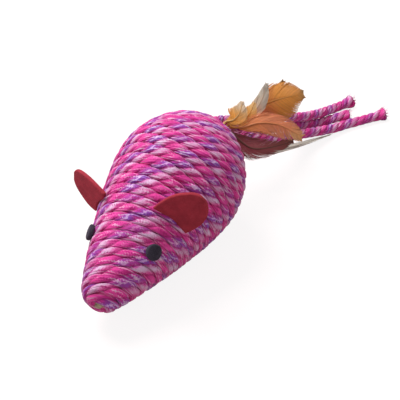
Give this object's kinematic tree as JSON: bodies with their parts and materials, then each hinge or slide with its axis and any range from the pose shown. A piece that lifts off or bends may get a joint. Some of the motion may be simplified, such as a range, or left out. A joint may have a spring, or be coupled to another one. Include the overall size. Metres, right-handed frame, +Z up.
{
  "type": "mouse cat toy",
  "caption": "Cat toy in the shape of a mouse: a teardrop body wound with twisted cord, felt ears and eyes, and a tail of cord ends and dyed feathers.",
  "frame": {"origin": "middle of the small flat on the belly that the toy rests on", "axes": "+Z up, -Y towards the nose, +Y towards the tail, +X towards the mouse's left"},
  "size_m": [0.099, 0.2242, 0.0626],
  "materials": {
    "twisted_cord": "soft twisted cotton",
    "moulded_core": "moulded, as made",
    "ball_steel": "tumbled",
    "black_felt": "pressed felt",
    "red_felt": "pressed felt",
    "feather_pale": "natural vane",
    "feather_orange": "dyed vane",
    "feather_salmon": "dyed vane",
    "feather_brown": "dyed vane",
    "feather_cream": "natural vane"
  },
  "bodies": {
    "toy_body": {"body_winding": "twisted_cord", "core_left_shell": "moulded_core", "core_right_shell": "moulded_core", "tail_plug": "moulded_core", "eye_left": "black_felt", "eye_right": "black_felt", "tail_cord_upper": "twisted_cord", "tail_cord_middle": "twisted_cord", "tail_cord_lower": "twisted_cord", "feather_fan": "feather_pale", "feather_tuft": "feather_orange", "feather_spike": "feather_pale", "feather_point": "feather_orange", "feather_broad": "feather_orange", "feather_salmon": "feather_salmon", "feather_brown": "feather_brown", "feather_cream": "feather_cream"},
    "left_ear": {"ear_left": "red_felt"},
    "right_ear": {"ear_right": "red_felt"},
    "ball": {"rattle_ball": "ball_steel"}
  },
  "joints": [
    {"name": "left_ear_bend", "type": "hinge", "parent": "toy_body", "child": "left_ear", "pos_m": [0.0166, -0.02933, 0.04211], "axis": [0.6897, 0.2071, -0.6939], "range_deg": [-20, 20], "stiffness_Nm_per_rad": 0.002},
    {"name": "right_ear_bend", "type": "hinge", "parent": "toy_body", "child": "right_ear", "pos_m": [-0.02129, -0.02818, 0.03622], "axis": [0.1112, -0.1644, 0.9801], "range_deg": [-15, 20], "stiffness_Nm_per_rad": 0.002},
    {"name": "ball_roll", "type": "slide", "parent": "toy_body", "child": "ball", "axis": [0, 1, 0], "range_m": [-0.008, 0.008]}
  ]
}
